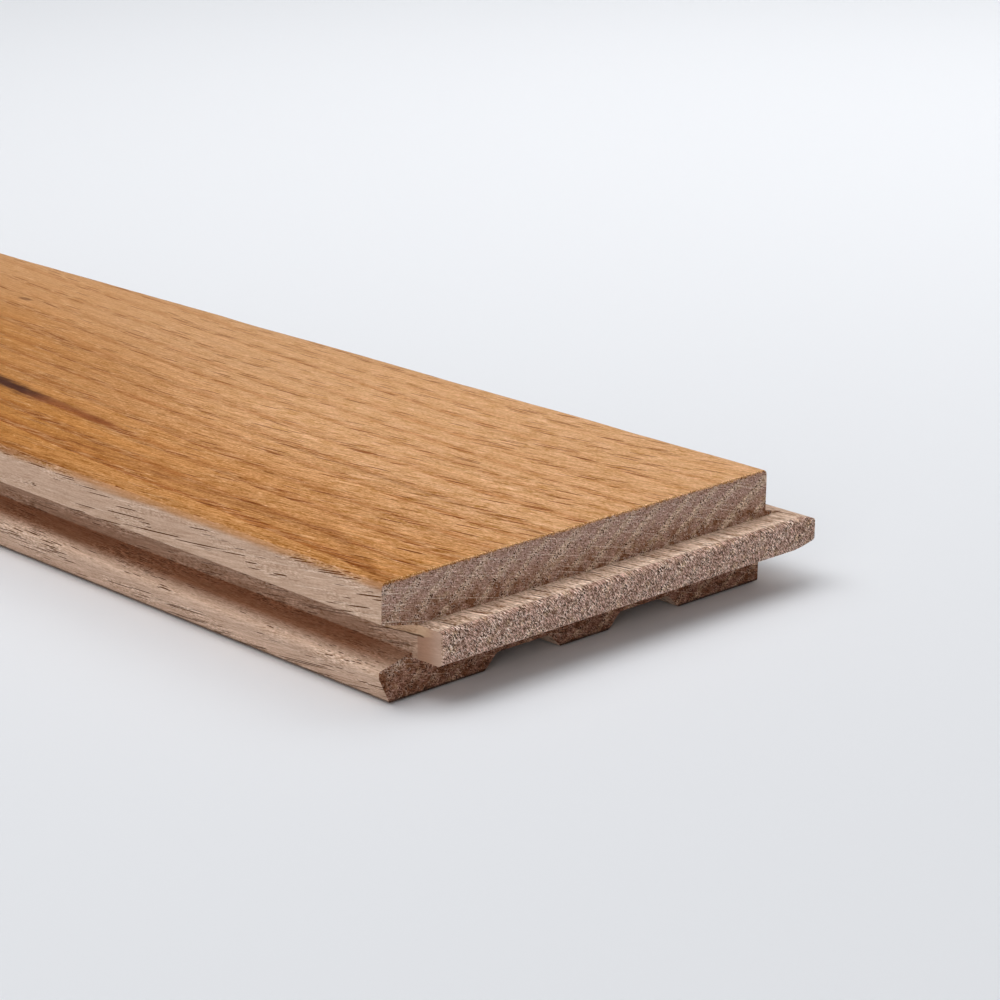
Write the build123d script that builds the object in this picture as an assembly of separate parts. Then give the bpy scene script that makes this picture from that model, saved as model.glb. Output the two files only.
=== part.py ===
from build123d import *
import os

# Solid oak strip floorboard, milled from one length of timber. All sizes are in millimetres.
# +X runs along the board to its end tongue, +Y across it to its side tongue, +Z up to its face.

# The face, which is what shows of the board once it is laid
face_length = 914.4
face_width = 82.55
thickness = 19.05
arris_radius = 0.8

# Side joint: a tapered tongue along one long edge, and the groove for it along the other
side_joint_height = 8.9
side_tongue_reach = 6.35
side_tongue_root = 6.4
side_tongue_nose = 3.5
side_tongue_nose_radius = 0.5
side_joint_clearance = 0.6
side_groove_end_gap = 0.55

# Lower lip of the side groove, held back and undercut so that the faces close up first
lip_setback = 0.45
lip_edge_land = 1.0
lip_edge_radius = 0.6
lip_bevel_run = 2.05

# End joint: a plain tongue across one end, and the groove for it across the other
end_joint_height = 8.55
end_tongue_reach = 5.15
end_tongue_thickness = 5.25
end_tongue_nose_radius = 0.95
end_joint_clearance = 0.3
end_groove_end_gap = 0.5
end_shoulder_setback = 1.1

# Relief channels along the underside, which let the board lie flat on an uneven floor
channel_mouth = 15.9
channel_depth = 2.4
channel_wall_run = 2.5
channel_corner_radius = 1.2
channel_land = 10.5
outer_land_least = 14.0

# Corners that the cutters leave inside the grooves and along the underside
groove_corner_radius = 0.4
underside_radius = 0.25

# The cutters run this far past the timber
overrun = 5.0

# The board lies with the middle of its whole length and width on the origin
length = face_length + end_tongue_reach
width = face_width + side_tongue_reach
end_groove_x = -length / 2
end_shoulder_x = end_groove_x + face_length
end_tongue_x = end_shoulder_x + end_tongue_reach
lower_shoulder_x = end_shoulder_x - end_shoulder_setback
groove_side_y = -width / 2
side_shoulder_y = groove_side_y + face_width
side_tongue_y = side_shoulder_y + side_tongue_reach

# The groove's flanks are parallel to the tongue's, a clearance away
side_taper = (side_tongue_root - side_tongue_nose) / 2 / side_tongue_reach
side_groove_depth = side_tongue_reach + side_groove_end_gap
side_groove_mouth = side_tongue_root + 2 * side_joint_clearance
side_groove_back = side_groove_mouth - 2 * side_taper * side_groove_depth
side_groove_y = groove_side_y + side_groove_depth

end_tongue_bottom = end_joint_height - end_tongue_thickness / 2
end_tongue_top = end_joint_height + end_tongue_thickness / 2
end_groove_depth = end_tongue_reach + end_groove_end_gap
end_groove_back_x = end_groove_x + end_groove_depth


def outline(corners):
    """A closed face through the corners, each a point and the radius that rounds it."""
    points = [point for point, radius in corners]
    radii = [radius for point, radius in corners]
    return make_face(FilletPolyline(*points, radius=radii, close=True))


def underside_corners(start_y, end_y):
    """The corners of as many relief channels as fit between two edges, evenly set about the middle."""
    pitch = channel_mouth + channel_land
    room = end_y - start_y - 2 * outer_land_least + channel_land
    count = max(int(room // pitch), 0)
    middle = (start_y + end_y) / 2
    half_mouth = channel_mouth / 2
    half_ceiling = half_mouth - channel_wall_run
    corners = []
    for place in range(count):
        centre = middle + (place - (count - 1) / 2) * pitch
        corners += [
            ((centre - half_mouth, 0), underside_radius),
            ((centre - half_ceiling, channel_depth), channel_corner_radius),
            ((centre + half_ceiling, channel_depth), channel_corner_radius),
            ((centre + half_mouth, 0), underside_radius),
        ]
    return corners


def long_section():
    """The section that runs the length of the board, across it and up: tongue, groove and channels."""
    lip_y = groove_side_y + lip_setback
    lip_top = side_joint_height - side_groove_mouth / 2 + side_taper * lip_setback
    lip_foot_y = lip_y + lip_bevel_run
    tongue = [
        ((side_shoulder_y, side_joint_height - side_tongue_root / 2), 0),
        ((side_tongue_y, side_joint_height - side_tongue_nose / 2), side_tongue_nose_radius),
        ((side_tongue_y, side_joint_height + side_tongue_nose / 2), side_tongue_nose_radius),
        ((side_shoulder_y, side_joint_height + side_tongue_root / 2), 0),
    ]
    face = [
        ((side_shoulder_y, thickness), arris_radius),
        ((groove_side_y, thickness), arris_radius),
    ]
    groove = [
        ((groove_side_y, side_joint_height + side_groove_mouth / 2), 0),
        ((side_groove_y, side_joint_height + side_groove_back / 2), groove_corner_radius),
        ((side_groove_y, side_joint_height - side_groove_back / 2), groove_corner_radius),
    ]
    lip = [
        ((lip_y, lip_top), lip_edge_radius),
        ((lip_y, lip_top - lip_edge_land), lip_edge_radius),
        ((lip_foot_y, 0), underside_radius),
    ]
    underside = underside_corners(lip_foot_y, side_shoulder_y)
    underside.append(((side_shoulder_y, 0), underside_radius))
    return outline(underside + tongue + face + groove + lip)


def end_section():
    """The outline of both ends, seen from the side, taller than the board by the cutters' overrun."""
    nose_radius = min(end_tongue_nose_radius, 0.45 * end_tongue_thickness)
    tongue = [
        ((lower_shoulder_x, end_tongue_bottom), 0),
        ((end_tongue_x, end_tongue_bottom), nose_radius),
        ((end_tongue_x, end_tongue_top), nose_radius),
        ((end_shoulder_x, end_tongue_top), 0),
    ]
    groove = [
        ((end_groove_x, end_tongue_top + end_joint_clearance), 0),
        ((end_groove_back_x, end_tongue_top + end_joint_clearance), groove_corner_radius),
        ((end_groove_back_x, end_tongue_bottom - end_joint_clearance), groove_corner_radius),
        ((end_groove_x, end_tongue_bottom - end_joint_clearance), 0),
    ]
    below = [((end_groove_x, -overrun), 0), ((lower_shoulder_x, -overrun), 0)]
    above = [((end_shoulder_x, thickness + overrun), 0), ((end_groove_x, thickness + overrun), 0)]
    return outline(below + tongue + above + groove)


def carried_along(section, start_x, end_x):
    """A section drawn across the board, carried along it from one place to another."""
    return extrude(Plane.YZ.offset(start_x) * section, end_x - start_x)


def carried_across(section, start_y, end_y):
    """A section drawn along the board, carried across it from one place to another."""
    return extrude(Plane.XZ.offset(-end_y) * section, end_y - start_y)


def groove_run_out():
    """Where the side groove comes out through the end tongue, the thin wedges it leaves are gone."""
    corners = [
        ((lower_shoulder_x, -overrun), 0),
        ((end_tongue_x + overrun, -overrun), 0),
        ((end_tongue_x + overrun, thickness), 0),
        ((end_shoulder_x, thickness), 0),
        ((end_shoulder_x, side_joint_height), 0),
        ((lower_shoulder_x, side_joint_height), 0),
    ]
    return carried_across(outline(corners), groove_side_y - overrun, side_groove_y)


def tongue_run_out():
    """Where the end groove comes out through the side tongue, the tongue stops at the groove's back."""
    corners = [
        ((end_groove_x - overrun, -overrun), 0),
        ((end_groove_back_x, -overrun), 0),
        ((end_groove_back_x, thickness + overrun), 0),
        ((end_groove_x - overrun, thickness + overrun), 0),
    ]
    return carried_across(outline(corners), side_shoulder_y, side_tongue_y + overrun)


def floorboard():
    """One board: its long section cut to its end section, with both corners of the joints cleared."""
    strip = carried_along(long_section(), end_groove_x - overrun, end_tongue_x + overrun)
    ends = carried_across(end_section(), groove_side_y - overrun, side_tongue_y + overrun)
    return (strip & ends) - groove_run_out() - tongue_run_out()


os.makedirs("parts", exist_ok=True)
export_step(floorboard(), "parts/floorboard.step")
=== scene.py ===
import bpy
import math
import numpy as np
from mathutils import Matrix, Vector


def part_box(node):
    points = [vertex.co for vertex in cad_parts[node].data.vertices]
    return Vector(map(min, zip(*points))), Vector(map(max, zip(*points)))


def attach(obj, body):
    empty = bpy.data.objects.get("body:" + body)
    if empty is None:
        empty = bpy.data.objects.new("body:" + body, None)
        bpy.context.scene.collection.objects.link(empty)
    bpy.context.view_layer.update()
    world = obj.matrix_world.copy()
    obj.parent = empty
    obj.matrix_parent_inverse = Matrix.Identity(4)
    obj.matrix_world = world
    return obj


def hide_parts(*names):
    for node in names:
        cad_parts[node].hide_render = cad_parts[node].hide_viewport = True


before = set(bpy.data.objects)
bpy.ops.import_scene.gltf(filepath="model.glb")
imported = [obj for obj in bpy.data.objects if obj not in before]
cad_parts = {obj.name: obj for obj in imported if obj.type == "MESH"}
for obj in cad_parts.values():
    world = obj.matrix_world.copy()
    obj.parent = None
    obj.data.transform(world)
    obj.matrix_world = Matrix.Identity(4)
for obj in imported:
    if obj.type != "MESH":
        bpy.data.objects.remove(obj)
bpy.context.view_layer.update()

# Floorboard
# A solid oak strip, rift sawn and moulded to a tongue and groove on all four edges, with relief
# channels planed along its underside. Its face is sanded and lacquered before it is sawn to length,
# so the lacquer stops in a thin wandering line just over each edge and the rest is bare wood.
mm = 0.001
low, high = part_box("floorboard")
end_groove_x, groove_side_y = low[0] / mm, low[1] / mm
end_tongue_x, side_tongue_y, thickness = high[0] / mm, high[1] / mm, high[2] / mm
# The joints' sizes in millimetres, and how far the cutters reach past the board
side_height, side_tongue_reach, side_tongue_root, side_tongue_nose = 8.9, 6.35, 6.4, 3.5
side_groove_depth, side_groove_mouth = 6.9, 7.6
end_height, end_tongue_reach, end_tongue_thickness, lower_setback = 8.55, 5.15, 5.25, 1.1
end_groove_depth, end_groove_height = 5.65, 5.85
past = 4.0
end_shoulder_x = end_tongue_x - end_tongue_reach
lower_shoulder_x = end_shoulder_x - lower_setback
side_shoulder_y = side_tongue_y - side_tongue_reach
side_groove_y = groove_side_y + side_groove_depth
end_groove_back_x = end_groove_x + end_groove_depth


def rounded(corners, steps, spacing):
    """A closed outline through corners (across, up, radius). Each corner becomes the arc that touches
    both its sides: its centre lies on the corner's bisector, radius / sin(half angle) away, and the
    arc turns evenly from one touching point to the other. Straight runs are then cut up to a spacing."""
    corners = np.array(corners, float)
    point, radius = corners[:, :2], corners[:, 2:]
    back = np.roll(point, 1, 0) - point
    onward = np.roll(point, -1, 0) - point
    back /= np.linalg.norm(back, axis=1)[:, None]
    onward /= np.linalg.norm(onward, axis=1)[:, None]
    half = np.arccos(np.clip((back * onward).sum(1), -1, 1))[:, None] / 2
    bisector = back + onward
    bisector /= np.linalg.norm(bisector, axis=1)[:, None]
    centre = point + bisector * radius / np.sin(half)
    first = point + back * radius / np.tan(half) - centre
    last = point + onward * radius / np.tan(half) - centre
    turn = (np.pi - 2 * half)[:, None, :]
    share = np.linspace(0, 1, steps)[None, :, None]
    arcs = np.sin((1 - share) * turn) * first[:, None] + np.sin(share * turn) * last[:, None]
    line = (centre[:, None] + arcs / np.sin(turn)).reshape(-1, 2)
    run = np.roll(line, -1, 0) - line
    cuts = np.maximum(np.ceil(np.linalg.norm(run, axis=1) / spacing), 1).astype(int)
    place = np.repeat(np.arange(len(line)), cuts)
    part = (np.arange(cuts.sum()) - np.repeat(np.cumsum(cuts) - cuts, cuts)) / cuts[place]
    return line[place] + part[:, None] * run[place]


def carried(name, rings):
    """A closed body from an array of rings (station, point, xyz): neighbouring rings are joined by
    quads, point by point, and the first and the last ring are each closed by one flat face."""
    stations, points = rings.shape[:2]
    number = np.arange(stations * points).reshape(stations, points)
    here, there = number[:-1], number[1:]
    quads = np.stack([here, np.roll(here, -1, 1), np.roll(there, -1, 1), there], -1).reshape(-1, 4)
    faces = quads.tolist() + [number[0, ::-1].tolist(), number[-1].tolist()]
    mesh = bpy.data.meshes.new(name)
    mesh.from_pydata(rings.reshape(-1, 3) * mm, [], faces)
    mesh.update()
    body = bpy.data.objects.new(name, mesh)
    bpy.context.scene.collection.objects.link(body)
    return body


def wander(place, longest, seed, count=9):
    """A smooth line that wanders between about -1 and 1: a sum of sines whose wavelengths fall from
    the longest by a quarter each time, with their heights falling alongside and random phases."""
    phase = np.random.default_rng(seed).uniform(0, 2 * np.pi, count)
    scale = 0.75 ** np.arange(count)
    waves = np.sin(2 * np.pi * np.asarray(place)[..., None] / (longest * scale) + phase)
    return (waves * scale).sum(-1) / scale.sum() * 1.7


# The long section, across the board and up, and the stations it is carried through
lip_setback, lip_edge_land, lip_bevel_run = 0.45, 1.0, 2.05
channel_mouth, channel_ceiling, channel_depth, channel_pitch = 15.9, 10.9, 2.4, 26.4
arris_radius, tongue_radius, underside_radius, channel_radius = 0.8, 0.5, 0.25, 1.2
groove_radius, lip_radius, mouth_radius, inner_radius = 0.4, 0.6, 0.15, 0.12
arc_steps, section_spacing = 6, 1.2
taper = (side_tongue_root - side_tongue_nose) / 2 / side_tongue_reach
groove_back = side_groove_mouth - 2 * taper * side_groove_depth
lip_y, lip_top = groove_side_y + lip_setback, side_height - side_groove_mouth / 2 + taper * lip_setback
lip_foot_y = lip_y + lip_bevel_run
middle = (lip_foot_y + side_shoulder_y) / 2
channels = []
for centre in (middle - channel_pitch / 2, middle + channel_pitch / 2):
    channels += [
        (centre - channel_mouth / 2, 0, underside_radius),
        (centre - channel_ceiling / 2, channel_depth, channel_radius),
        (centre + channel_ceiling / 2, channel_depth, channel_radius),
        (centre + channel_mouth / 2, 0, underside_radius),
    ]
section = rounded(
    [(lip_foot_y, 0, underside_radius)]
    + channels
    + [
        (side_shoulder_y, 0, underside_radius),
        (side_shoulder_y, side_height - side_tongue_root / 2, inner_radius),
        (side_tongue_y, side_height - side_tongue_nose / 2, tongue_radius),
        (side_tongue_y, side_height + side_tongue_nose / 2, tongue_radius),
        (side_shoulder_y, side_height + side_tongue_root / 2, inner_radius),
        (side_shoulder_y, thickness, arris_radius),
        (groove_side_y, thickness, arris_radius),
        (groove_side_y, side_height + side_groove_mouth / 2, mouth_radius),
        (side_groove_y, side_height + groove_back / 2, groove_radius),
        (side_groove_y, side_height - groove_back / 2, groove_radius),
        (lip_y, lip_top, lip_radius),
        (lip_y, lip_top - lip_edge_land, lip_radius),
    ],
    arc_steps,
    section_spacing,
)
# Stations lie close together near the end tongue, and further apart past that
near_length, near_spacing, far_spacing = 225, 1.5, 6.0
near_x = end_tongue_x - near_length
stations = np.concatenate(
    [
        np.arange(end_groove_x - past, near_x, far_spacing),
        np.arange(near_x, end_tongue_x + past, near_spacing),
    ]
)
rings = np.empty((len(stations), len(section), 3))
rings[..., 0] = stations[:, None]
rings[..., 1:] = section[None]
# Sanding leaves the two long edges of the face eased by a varying amount
ease_depth, ease_reach, ease_wave = 0.09, 1.8, 60
for side, inward, seed in ((groove_side_y, 1, 3), (side_shoulder_y, -1, 5)):
    reach = np.hypot(section[:, 0] - side, section[:, 1] - thickness)
    weight = np.clip(1 - reach / ease_reach, 0, 1) ** 1.5
    ease = ease_depth * np.clip(1 + wander(stations, ease_wave, seed), 0, 2)
    rings[..., 1] += inward * ease[:, None] * weight
    rings[..., 2] -= ease[:, None] * weight
board = carried("floorboard_visual", rings)

# Both ends, seen from the side, carried across the board, with the saw's sharp edges broken
nose_radius, break_radius, cutter_spacing = 0.95, 0.1, 12.0
break_down, break_back, break_up, splay = 0.12, 0.15, 0.2, 2
tongue_low = end_height - end_tongue_thickness / 2
tongue_high = end_height + end_tongue_thickness / 2
groove_low = end_height - end_groove_height / 2
groove_high = end_height + end_groove_height / 2
ends = rounded(
    [
        (lower_shoulder_x, tongue_low, inner_radius),
        (end_tongue_x, tongue_low, nose_radius),
        (end_tongue_x, tongue_high, nose_radius),
        (end_shoulder_x, tongue_high, inner_radius),
        (end_shoulder_x, thickness - break_down, break_radius),
        (end_shoulder_x - break_back, thickness, break_radius),
        (end_shoulder_x - splay, thickness + past, break_radius),
        (end_groove_x + splay, thickness + past, break_radius),
        (end_groove_x + break_back, thickness, break_radius),
        (end_groove_x, thickness - break_down, break_radius),
        (end_groove_x, groove_high, inner_radius),
        (end_groove_back_x, groove_high, groove_radius),
        (end_groove_back_x, groove_low, groove_radius),
        (end_groove_x, groove_low, inner_radius),
        (end_groove_x, break_up, break_radius),
        (end_groove_x + splay, -past, break_radius),
        (lower_shoulder_x - splay, -past, break_radius),
        (lower_shoulder_x, break_up, break_radius),
    ],
    arc_steps,
    cutter_spacing,
)
crossings = np.linspace(side_tongue_y + past, groove_side_y - past, 120)
rings = np.empty((len(crossings), len(ends), 3))
rings[..., 0] = ends[None, :, 0]
rings[..., 1] = crossings[:, None]
rings[..., 2] = ends[None, :, 1]
end_cut = carried("end_cut", rings)


def block(name, low_corner, high_corner):
    """A plain box between two corners: the four corners of its cross-section at its two ends."""
    x, y, z = np.array([low_corner, high_corner], float).T
    ring = np.array([(y[0], z[0]), (y[1], z[0]), (y[1], z[1]), (y[0], z[1])])
    rings = np.empty((2, 4, 3))
    rings[..., 0] = x[:, None]
    rings[..., 1:] = ring[None]
    return carried(name, rings)


# The corners where a groove runs out through a tongue, with the end tongue's corner worn round
worn_radius, worn_lead, worn_gap, cutter_top = 0.8, 2.0, 0.03, thickness - 4
plan = rounded(
    [
        (end_shoulder_x, groove_side_y - past, break_radius),
        (end_tongue_x + past, groove_side_y - past, break_radius),
        (end_tongue_x + past, side_groove_y + worn_lead, break_radius),
        (end_tongue_x + worn_gap, side_groove_y + worn_lead, 0.01),
        (end_tongue_x, side_groove_y, worn_radius),
        (end_shoulder_x, side_groove_y, break_radius),
    ],
    arc_steps,
    cutter_spacing,
)
rings = np.empty((2, len(plan), 3))
rings[..., :2] = plan[None]
rings[..., 2] = np.array([-past, cutter_top])[:, None]
cuts = [
    carried("groove_run_out", rings),
    block(
        "lip_run_out",
        (lower_shoulder_x, groove_side_y - past, -past),
        (end_shoulder_x + 1, side_groove_y, side_height),
    ),
    block(
        "tongue_run_out",
        (end_groove_x - past, side_shoulder_y, -past),
        (end_groove_back_x, side_tongue_y + past, thickness + past),
    ),
]
for tool in [end_cut] + cuts:
    step = board.modifiers.new(tool.name, "BOOLEAN")
    step.operation = "INTERSECT" if tool is end_cut else "DIFFERENCE"
    step.solver = "MANIFOLD"
    step.object = tool
shaped = bpy.data.meshes.new_from_object(board.evaluated_get(bpy.context.evaluated_depsgraph_get()))
board.modifiers.clear()
board.data = shaped
for tool in [end_cut] + cuts:
    bpy.data.objects.remove(tool)
sharp_angle = math.radians(32)
shaped.set_sharp_from_angle(angle=sharp_angle)

# The way each face is cut: across the grain, upright along it, or flat along it
turned = np.empty(len(shaped.polygons) * 3)
shaped.polygons.foreach_get("normal", turned)
turned = np.clip((np.abs(turned.reshape(-1, 3)) - 0.45) / 0.3, 0, 1)
shaped.attributes.new("cut", "FLOAT_VECTOR", "FACE").data.foreach_set("vector", turned.ravel())


class Field:
    """A number that varies over a surface, so that a formula reads as one: it holds a node's output in
    a tree, and each sum makes the Math node that works it out."""

    tree = None

    def __init__(self, socket):
        self.socket = socket

    @classmethod
    def maths(cls, operation, *terms, clamp=False):
        """One operation on numbers and fields, as a Math node."""
        made = cls.tree.nodes.new("ShaderNodeMath")
        made.operation, made.use_clamp = operation, clamp
        for place, term in enumerate(terms):
            cls.put(made.inputs[place], term)
        return cls(made.outputs[0])

    @classmethod
    def put(cls, socket, value):
        """Link a field or a node's output to a socket, or set a plain value on it."""
        if isinstance(value, Field):
            cls.tree.links.new(value.socket, socket)
        elif isinstance(value, bpy.types.NodeSocket):
            cls.tree.links.new(value, socket)
        else:
            socket.default_value = value

    def __add__(self, other):
        return Field.maths("ADD", self, other)

    def __sub__(self, other):
        return Field.maths("SUBTRACT", self, other)

    def __mul__(self, other):
        return Field.maths("MULTIPLY", self, other)

    def __truediv__(self, other):
        return Field.maths("DIVIDE", self, other)

    def __rsub__(self, other):
        return Field.maths("SUBTRACT", other, self)

    __radd__, __rmul__ = __add__, __mul__

    def step(self, start, end):
        """0 at start, 1 at end and a smooth rise between them; start above end makes it a fall."""
        made = self.tree.nodes.new("ShaderNodeMapRange")
        made.interpolation_type = "SMOOTHSTEP"
        for name, value in (("Value", self), ("From Min", start), ("From Max", end)):
            Field.put(made.inputs[name], value)
        return Field(made.outputs[0])


def vector(x, y, z):
    """Three fields as one vector."""
    made = Field.tree.nodes.new("ShaderNodeCombineXYZ")
    for place, value in enumerate((x, y, z)):
        Field.put(made.inputs[place], value)
    return made.outputs[0]


def parts(whole):
    """A vector as three fields."""
    made = Field.tree.nodes.new("ShaderNodeSeparateXYZ")
    Field.put(made.inputs[0], whole)
    return [Field(part) for part in made.outputs]


def noise(place, detail=2.0, roughness=0.5):
    """Smooth noise about 0, from about -0.5 to 0.5, at a vector."""
    made = Field.tree.nodes.new("ShaderNodeTexNoise")
    Field.put(made.inputs["Vector"], place)
    Field.put(made.inputs["Scale"], 1.0)
    Field.put(made.inputs["Detail"], detail)
    Field.put(made.inputs["Roughness"], roughness)
    return Field(made.outputs[0]) - 0.5


def cells(place, randomness=1.0):
    """The distance to the nearest of scattered points, and three random numbers of that point."""
    made = Field.tree.nodes.new("ShaderNodeTexVoronoi")
    Field.put(made.inputs["Vector"], place)
    Field.put(made.inputs["Scale"], 1.0)
    Field.put(made.inputs["Randomness"], randomness)
    drawn = Field.tree.nodes.new("ShaderNodeSeparateColor")
    Field.put(drawn.inputs[0], made.outputs["Color"])
    return Field(made.outputs["Distance"]), [Field(part) for part in drawn.outputs]


def blend(share, first, second, way="MIX"):
    """Two colours mixed by a share."""
    made = Field.tree.nodes.new("ShaderNodeMix")
    made.data_type, made.blend_type = "RGBA", way
    made.clamp_factor = True
    for name, value in ((0, share), (6, first), (7, second)):
        Field.put(made.inputs[name], value if not isinstance(value, tuple) else (*value, 1))
    return made.outputs[2]


oak = bpy.data.materials.new("oak")
oak.use_nodes = True
tree = oak.node_tree
Field.tree = tree
shader = tree.nodes["Principled BSDF"]

# Place in millimetres from the near corner of the end tongue's shoulder, and the way each face is cut
spot = tree.nodes.new("ShaderNodeTexCoord")
local = tree.nodes.new("ShaderNodeVectorMath")
local.operation = "MULTIPLY_ADD"
Field.put(local.inputs[0], spot.outputs["Object"])
local.inputs[1].default_value = (1 / mm, 1 / mm, 1 / mm)
local.inputs[2].default_value = (-end_shoulder_x, -groove_side_y, 0)
x, y, z = parts(local.outputs[0])
cut = tree.nodes.new("ShaderNodeAttribute")
cut.attribute_name = "cut"
ended, sided, flat = parts(cut.outputs["Vector"])

# The growth rings: sheets that lean across the board, sway along it and fan out at the tongue end
ring_spacing, sway_depth, sway_length = 5.4, 7.4, 560
sway = sway_depth * (1 - Field.maths("COSINE", x * (2 * math.pi / sway_length)))
fan = (y - 45) * 0.048 * Field.maths("EXPONENT", Field.maths("MINIMUM", x, 0.0) / 30)
drift = 3.4 * noise(vector(x / 95, y / 26, z / 26), 1) + 1.3 * noise(vector(x / 22, y / 4, z / 4), 2)
across = y - sway - fan - drift
sheet = across - z * (1.0 + 0.0054 * y)
sheet = sheet + 4.2 * noise(vector(sheet / 9, 0.0, 0.0), 0)
ring = Field.maths("FRACT", sheet / ring_spacing)
early = ring.step(0.52, 0.14) * ring.step(0.0, 0.06)
fade = 1.15 - 0.0085 * y

# The end tongue: its top, its plain near wall, and its nose, which is end grain from where it turns down
shelf = flat * x.step(0.0, 0.2) * z.step(16.0, 14.0)
wall = sided * x.step(-0.1, 0.1) * y.step(7.9, 7.5)
nose = x.step(3.9, 4.3) * (1 - sided)
sawed = Field.maths("MAXIMUM", ended, nose)
groove = y.step(7.3, 7.1) * z.step(12.9, 12.3) * (1 - ended)
upright = Field.maths("MAXIMUM", sided, groove)

# The vessels: tubes along the grain that lean and rise with it, so that a cut along the board opens each
# one for a few millimetres, as a dash, and a cut across it opens each as a pore
near = Field.maths("MAXIMUM", x, -178.0)
nearer = Field.maths("MAXIMUM", x, -100.0)
slant = near * (0.25 + 0.0007 * near)
climb = nearer * (0.17 + 0.0008 * nearer)
lean = slant + upright * (0.035 * x - slant)
rise = 0.06 * x + upright * (climb - 0.06 * x)
tube_y, tube_z = across - lean, z - rise
along_ring, over_ring = 0.77 * y + 0.64 * z, 0.64 * y - 0.77 * z
tube_y = tube_y + sawed * (along_ring - tube_y)
tube_z = tube_z + sawed * (0.65 * over_ring - tube_z)
cluster = noise(vector(x / 16, y / 5, z / 2.4), 1).step(-0.04, 0.12)
size = 0.58 - 0.28 * upright - 0.2 * sawed + 0.05 * shelf
tube, chance = cells(vector(x / (30 - 6 * upright), tube_y / size, tube_z / size), 0.9)
width = 0.27 + 0.06 * chance[0] + 0.04 * early
share = 0.2 + (1 - upright) * (0.62 + 0.2 * shelf) * early + 0.12 * sawed + 0.1 * nose - wall
share = share + upright * (0.75 * cluster - 0.06)
kept = chance[1].step(share + 0.04, share - 0.04)
vessel = tube.step(width + 0.07, width - 0.05) * kept
# Painted highlights: pale rims beside the vessels, where their edges would catch the light
glint_rim = tube.step(width + 0.3, width + 0.12) * kept - vessel
size = size * (0.75 - 0.2 * upright - 0.2 * sawed)
tube, chance = cells(vector(x / 12, tube_y / size + 7.3, tube_z / size), 1.0)
share = 0.2 + 0.3 * early + 0.3 * sawed + 0.4 * upright * cluster - wall
pit = tube.step(0.3, 0.16) * chance[1].step(share + 0.04, share - 0.04)

# Fibres, streaks and broad patches of tone along the grain, and the grit that a cutter leaves, whose peaks
# also place painted glints on the face
fine = 0.36 - 0.18 * upright - 0.1 * sawed
fibre = noise(vector(x / 6, tube_y / fine, tube_z / fine), 2, 0.6)
thread = noise(vector(x / 30, tube_y / 0.7, tube_z / 0.7), 2, 0.6)
streak = noise(vector(x / 70, (across - 0.03 * x) / 1.7, z / 1.7), 2)
patch = noise(vector(x / 130, y / 24, z / 24), 1)
grit_and_glint = noise(vector(x / 0.7, y / 0.27, z / 0.22), 1, 0.6)

# On a sawn end: flames that cross the rings, and the marks and pale scratches of the saw
flame = noise(vector(along_ring / 0.16, over_ring / 0.7, x / 20), 2, 0.6)
blotch = noise(vector(x / 20, y / 2.4, z / 1.9), 2)
mottle = noise(vector(y / 1.7, z / 1.5, x / 20), 1)
stroke = z + 0.21 * y + 0.0006 * y * y
tooth = 0.85
scratch = Field.maths("ABSOLUTE", Field.maths("FRACT", stroke / tooth) - 0.5).step(0.1, 0.02)
scratch = scratch * noise(vector(y / 11, stroke / tooth, 0.0), 0).step(0.04, 0.12) * x.step(0.6, 0.2)
brushed = noise(vector(y / 0.9, stroke / 0.19, 0.0), 2, 0.6)

# Bare wood along the grain
bare = blend(early * 0.4, (0.61, 0.425, 0.315), (0.57, 0.385, 0.275))
# Painted light: upright faces low on the board, such as the lower lip, are a little paler
bare = blend(sided, bare, blend(z.step(7.0, 5.0), (0.535, 0.365, 0.265), (0.58, 0.40, 0.295)))
# Painted highlight along the front of the tongue's top, where it begins to round over
bare = blend(shelf * x.step(2.6, 3.5), bare, (0.72, 0.53, 0.41))
inside = groove * y.step(1.5, 3.0)
bare = blend(pit * (0.45 + 0.3 * shelf) * (1 - 0.5 * inside), bare, (0.2, 0.09, 0.03))
bare = blend(vessel * 0.95 * (1 - 0.5 * inside), bare, (0.1, 0.03, 0.004))
# Painted highlights beside the vessels
bare = blend(glint_rim * (0.34 + 0.14 * shelf), bare, (0.85, 0.66, 0.52))
# Sawn end
stripe = early * (0.55 + 0.007 * y + 1.2 * blotch) * (1 - 0.6 * nose)
sawn = blend(stripe, (0.45, 0.268, 0.198), (0.66, 0.475, 0.33))
sawn = blend(nose * 0.4, sawn, (0.555, 0.36, 0.285))
sawn = blend(mottle.step(0.02, 0.3) * 0.5, sawn, (0.6, 0.43, 0.24))
# Painted light and shade on the lip's end: paler towards its top, and darker in patches down towards the
# tongue
sawn = blend(z.step(13.0, 17.5) * x.step(0.6, 0.2) * 0.25, sawn, (0.54, 0.38, 0.34))
sawn = blend((0.4 - 5.0 * blotch) * z.step(16.0, 12.0) * x.step(0.6, 0.2), sawn, (0.25, 0.115, 0.06))
sawn = blend(pit * 0.75, sawn, (0.17, 0.065, 0.03))
sawn = blend(vessel * 0.93, sawn, (0.085, 0.024, 0.008))
# Painted highlights beside the pores
sawn = blend(glint_rim * (0.42 + 0.12 * nose), sawn, (0.92, 0.72, 0.6))
sawn = blend(scratch * 0.6, sawn, (0.85, 0.68, 0.55))
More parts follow.
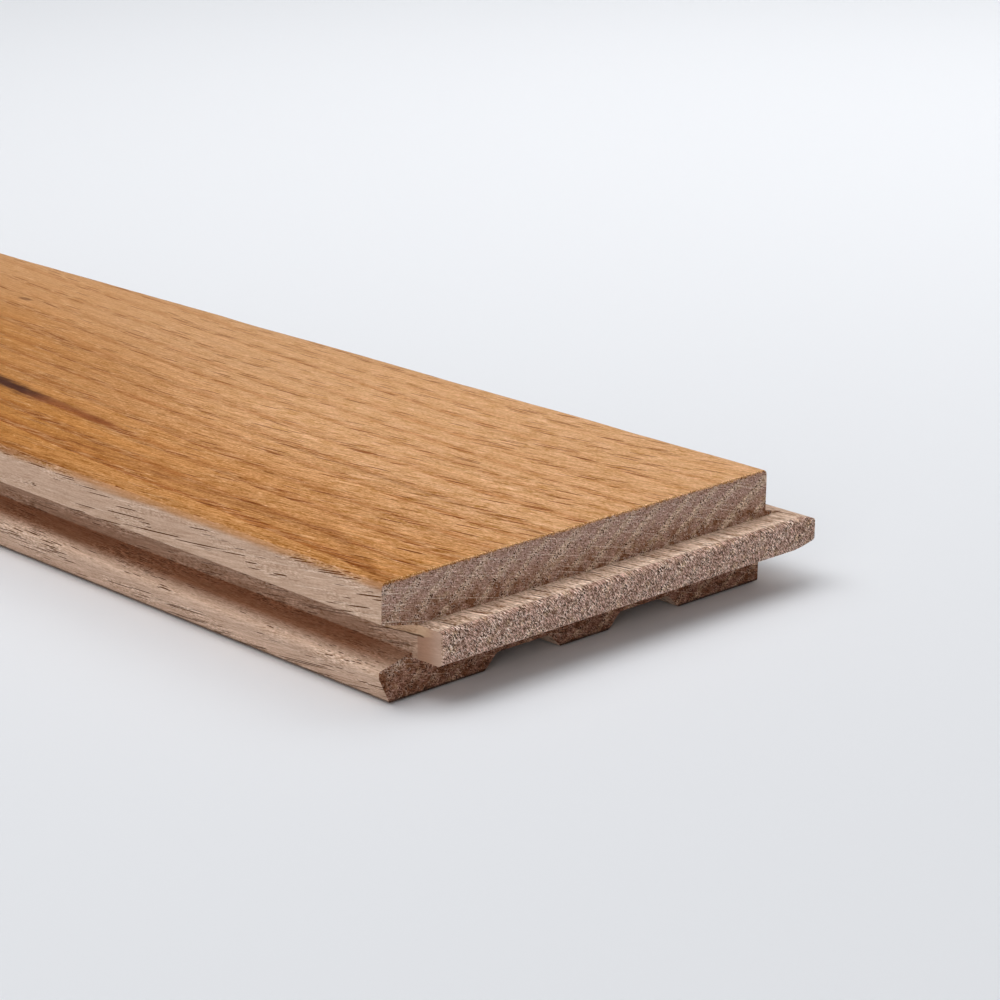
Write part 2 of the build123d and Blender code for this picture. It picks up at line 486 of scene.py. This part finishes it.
# Lacquered face
# The face is paler towards its back edge, partly a painted sheen, and darker towards its far left end, a
# painted falloff of the light; patch adds tone at random
pale = 0.17 + 0.0095 * y + 0.000066 * y * y + 0.9 * patch
pale = pale - Field.maths("MINIMUM", (0 - x - 70.0) * 0.006, 0.6, clamp=True)
pale = pale.step(-0.15, 1.1)
clear = Field.maths("MAXIMUM", 1 - 0.0031 * (y - x), 0.3)
dark = blend(pale, (0.335, 0.105, 0.016), (0.49, 0.20, 0.06))
face = blend(pale, (0.525, 0.217, 0.05), (0.68, 0.37, 0.175))
face = blend(early * fade * (0.7 + 1.9 * streak), face, dark)
face = blend(thread.step(0.1, 0.34) * (1 - 0.6 * pale), face, (0.3, 0.08, 0.012))
face = blend(pit * 0.7 * clear, face, (0.26, 0.07, 0.0))
face = blend(vessel * (0.35 + 0.63 * clear), face, (0.225, 0.05, 0.0))
# Painted highlights beside the vessels on the face
face = blend(glint_rim * 0.22, face, (0.9, 0.58, 0.3))
# Painted glints: pale specks on the lacquered face where the grit peaks
face = blend(grit_and_glint.step(0.22, 0.34) * 0.4, face, (0.95, 0.66, 0.38))

# A mineral streak that comes in from the left, a fleck, and darker veins
vein = Field.maths("ABSOLUTE", y - 22.5 + 0.073 * (x + 120) + 2.4 * noise(vector(x / 6, 0.0, 5.1), 3, 0.6))
run = Field.maths("MINIMUM", Field.maths("MAXIMUM", -90 - x, 0.0), 38.0)
reach = 1.3 + 0.045 * run + 5.0 * thread + 4.0 * fibre
core = vein.step(reach, reach * 0.2) * x.step(-80.0, -98.0) * x.step(-156.0, -142.0)
mineral = blend(x.step(-120.0, -106.0), (0.04, 0.006, 0.006), (0.25, 0.07, 0.02))
face = blend(core * (0.7 + 0.2 * x.step(-106.0, -114.0)), face, mineral)
spotted = (x + 94) * (x + 94) / 30 + (y - 20.3) * (y - 20.3) / 0.8
face = blend(spotted.step(1.5, 0.1) * 0.75, face, (0.24, 0.065, 0.014))
spotted = (x + 173.7) * (x + 173.7) / 5 + (y - 62) * (y - 62) / 0.7
face = blend(spotted.step(1.4, 0.2) * 0.7, face, (0.2, 0.08, 0.028))
vein = Field.maths("ABSOLUTE", y - 32.6 + 0.035 * (x + 5) + 1.4 * noise(vector(x / 14, 0.0, 2.2), 2))
face = blend(vein.step(0.9, 0.1) * x.step(-85.0, -60.0) * (0.35 + 2.2 * thread), face, (0.2, 0.055, 0.0))
vein = Field.maths("ABSOLUTE", y - 9.4 + 0.02 * (x + 60) + 2.6 * noise(vector(x / 16, 0.0, 8.4), 2))
smear = vein.step(2.4, 0.2) * x.step(-100.0, -80.0) * x.step(-14.0, -34.0)
face = blend(smear * (0.4 + 2 * thread), face, (0.27, 0.08, 0.012))
vein = Field.maths("ABSOLUTE", y - 0.3 + 0.44 * x + 2.2 * noise(vector(x / 9, 0.0, 3.7), 2))
smear = vein.step(2.0, 0.2) * x.step(-34.0, -20.0)
face = blend(smear * (0.3 + 2 * thread), face, (0.25, 0.075, 0.012))

# The lacquer fades out over a long edge and stops short at a sawn one, where it stains the wood under it
line = 17.95 + 0.7 * noise(vector(x / 7, y / 7, 1.3), 2) + 0.9 * thread + 0.75 * ended
soft = 0.55 - 0.35 * ended
lacquer = z.step(line - soft, line + soft) * (1 - 0.3 * sided)
stain = z.step(line - 1.2, line + 0.2) * (0.35 + 2.2 * fibre) * ended
wood = blend(sawed, bare, sawn)
wood = blend(stain, wood, (0.31, 0.14, 0.078))
# Painted shade darkens the groove's inside towards its back and the undercut shoulder under the tongue;
# the tongue's wall is browner
# Painted shade inside the groove, deepest on the inner part of its lower flank and lighter high on its
# back wall
groove_shade = y.step(1.4, 3.9) * groove * x.step(0.1, -0.1) * (1 - 0.4 * x.step(-12.0, -2.0))
groove_shade = groove_shade * (1 - sided * (0.45 + 0.4 * z.step(7.2, 9.9))) * (1 - 0.45 * x.step(-95.0, -150.0))
# Painted shade on the undercut shoulder and the lower lip's end under the tongue, lighter towards the
# lip's top
under = ended * x.step(-0.4, -0.7) * x.step(-30.0, -20.0)
wood = blend(groove_shade, wood, blend(1.0, wood, (0.58, 0.39, 0.285), "MULTIPLY"))
shoulder_shade = under * (0.8 - 0.6 * z.step(3.4, 5.4) * y.step(9.0, 7.0))
wood = blend(shoulder_shade, wood, blend(1.0, wood, (0.61, 0.465, 0.4), "MULTIPLY"))
wood = blend(wall, wood, blend(x.step(1.5, 4.8), (0.42, 0.24, 0.16), (0.48, 0.315, 0.235)))
# A paler strip along the groove's back near the end, over a thin dark line
strip_line = z - 9.57 - 0.087 * x - 0.4 * noise(vector(x / 2, 0.0, 4.4), 1)
pale_strip = sided * y.step(6.4, 6.8) * y.step(7.4, 7.2) * x.step(-9.0, -6.5) * x.step(4.0, 0.5) * (1 - sawed)
wood = blend(pale_strip * strip_line.step(0.0, 0.12), wood, (0.62, 0.41, 0.265))
dash = Field.maths("ABSOLUTE", strip_line).step(0.11 + 0.12 * x.step(-3.0, -1.0), 0.05) * x.step(1.6, 1.1)
wood = blend(pale_strip * dash * 0.9, wood, (0.08, 0.035, 0.016))
# Painted contact shadow along the foot, where the board meets the floor
wood = blend(z.step(0.45, 0.2) * (1 - flat) * 0.85, wood, (0.05, 0.03, 0.02))
colour = blend(lacquer, wood, face)
# Painted highlight: the broken edge over the sawn end is painted as a bright golden line where it catches
# the light
colour = blend(ended * flat * (0.5 + 2.5 * grit_and_glint) * z.step(18.5, 18.8), colour, (0.9, 0.55, 0.25))

# The tone of the fibres is calmer away from the near corner, and what is darker is warmer
along = (2.3 - 1.4 * upright) * fibre + (0.5 - 0.2 * upright) * thread
along = along + (1.5 + upright * (1.0 * cluster - 1.0)) * grit_and_glint
along = along * (clear + 0.6 * upright * (1 - clear)) * (1 + 0.6 * shelf + 0.4 * groove)
cross = 1.8 * flame + 2.2 * grit_and_glint + 2.8 * brushed + nose * (4.2 * flame + 1.2 * grit_and_glint - 2.8 * brushed)
cross = cross * (1 + 0.35 * under)
rough = sawed * cross + (1 - sawed) * (1 - 0.75 * wall) * along
broad = 1 + (0.4 - 0.2 * sided) * fade * streak
# Painted falloff of the light: the face a little darker towards its far left end; it is also darker along
# its near edge
broad = broad - 0.1 * lacquer * (x.step(-50.0, -130.0) + 1.9 * y.step(3.5, 0.6))
shade = tree.nodes.new("ShaderNodeCombineColor")
for socket, weight in zip(shade.inputs, (0.82 - 0.07 * lacquer, 1.0, 1.18 + 0.6 * lacquer)):
    Field.put(socket, Field.maths("MAXIMUM", broad + weight * rough, 0.1 + 0.15 * sawed))
colour = blend(1.0, colour, shade.outputs[0], "MULTIPLY")
Field.put(shader.inputs["Base Color"], colour)
Field.put(shader.inputs["Roughness"], 0.82 - 0.44 * lacquer)
Field.put(shader.inputs["Specular IOR Level"], 0.06)
relief = tree.nodes.new("ShaderNodeBump")
relief.inputs["Strength"].default_value = 0.8
relief.inputs["Distance"].default_value = 0.0001
Field.put(relief.inputs["Height"], (0.4 * rough - vessel) * (1 - 0.8 * lacquer))
Field.put(shader.inputs["Normal"], relief.outputs[0])
shaped.materials.clear()
shaped.materials.append(oak)
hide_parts("floorboard")
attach(board, "root")

# Floor
# A plain pale sheet of card that the board lies on. It is set a hair below the board's underside, so that
# the two never share a plane.
floor_half, floor_gap = 4.0, 0.0003
mesh = bpy.data.meshes.new("floor")
corners = np.array([(-1, -1, 0), (1, -1, 0), (1, 1, 0), (-1, 1, 0)]) * floor_half
corners[:, 2] = -floor_gap
mesh.from_pydata(corners, [], [(0, 1, 2, 3)])
mesh.update()
floor = bpy.data.objects.new("floor", mesh)
bpy.context.scene.collection.objects.link(floor)
card = bpy.data.materials.new("card")
card.use_nodes = True
shader = card.node_tree.nodes["Principled BSDF"]
shader.inputs["Base Color"].default_value = (0.8, 0.815, 0.845, 1)
shader.inputs["Roughness"].default_value = 0.7
mesh.materials.append(card)

# Light
# A large soft box high over the near left, a smaller one over the floor behind the board, a weak one
# low in front that lifts the sides, and the dim even light of a pale room.
world = bpy.data.worlds.new("room")
world.use_nodes = True
world.node_tree.nodes["Background"].inputs["Color"].default_value = (0.95, 0.97, 1.0, 1)
world.node_tree.nodes["Background"].inputs["Strength"].default_value = 0.18
bpy.context.scene.world = world
corner = Vector((end_shoulder_x * mm, groove_side_y * mm, 0))
# Each lamp's name, place and aim from that corner, size, spread and power
lamps = [
    ("key", (-0.4, -0.45, 1.5), (0, 0, 0), 1.4, 180, 19.6),
    ("backdrop", (-0.22, 0.7, 0.65), (-0.29, 0.6, 0), 0.9, 110, 2.0),
    ("fill", (0.9, -1.8, 0.7), (0, 0, 0.01), 1.0, 180, 11.4),
]
for name, place, aim, size, spread, power in lamps:
    data = bpy.data.lights.new(name, "AREA")
    data.shape = "SQUARE"
    data.size = size
    data.spread = math.radians(spread)
    data.energy = power
    lamp = bpy.data.objects.new(name, data)
    lamp.location = corner + Vector(place)
    lamp.rotation_mode = "QUATERNION"
    lamp.rotation_quaternion = (Vector(aim) - Vector(place)).to_track_quat("-Z", "Y")
    bpy.context.scene.collection.objects.link(lamp)
bpy.context.scene.view_settings.view_transform = "Standard"

# Camera
# It stands where the photo's straight edges say the photographer did, off the end tongue's near corner.
stand = Vector((0.2826, -0.2531, 0.1506))
yaw, pitch, roll = math.radians(45.66), math.radians(17.45), math.radians(-0.66)
look = Vector((-math.sin(yaw) * math.cos(pitch), math.cos(yaw) * math.cos(pitch), -math.sin(pitch)))
right = Vector((math.cos(yaw), math.sin(yaw), 0))
down = look.cross(right)
level = math.cos(roll) * right + math.sin(roll) * down
plumb = -math.sin(roll) * right + math.cos(roll) * down
data = bpy.data.cameras.new("camera")
data.sensor_width = 36.0
data.lens = 102.92
data.clip_start = 0.01
camera = bpy.data.objects.new("camera", data)
turned_to = Matrix((level, -plumb, -look)).transposed().to_4x4()
camera.matrix_world = Matrix.Translation(corner + stand) @ turned_to
bpy.context.scene.collection.objects.link(camera)
bpy.context.scene.camera = camera
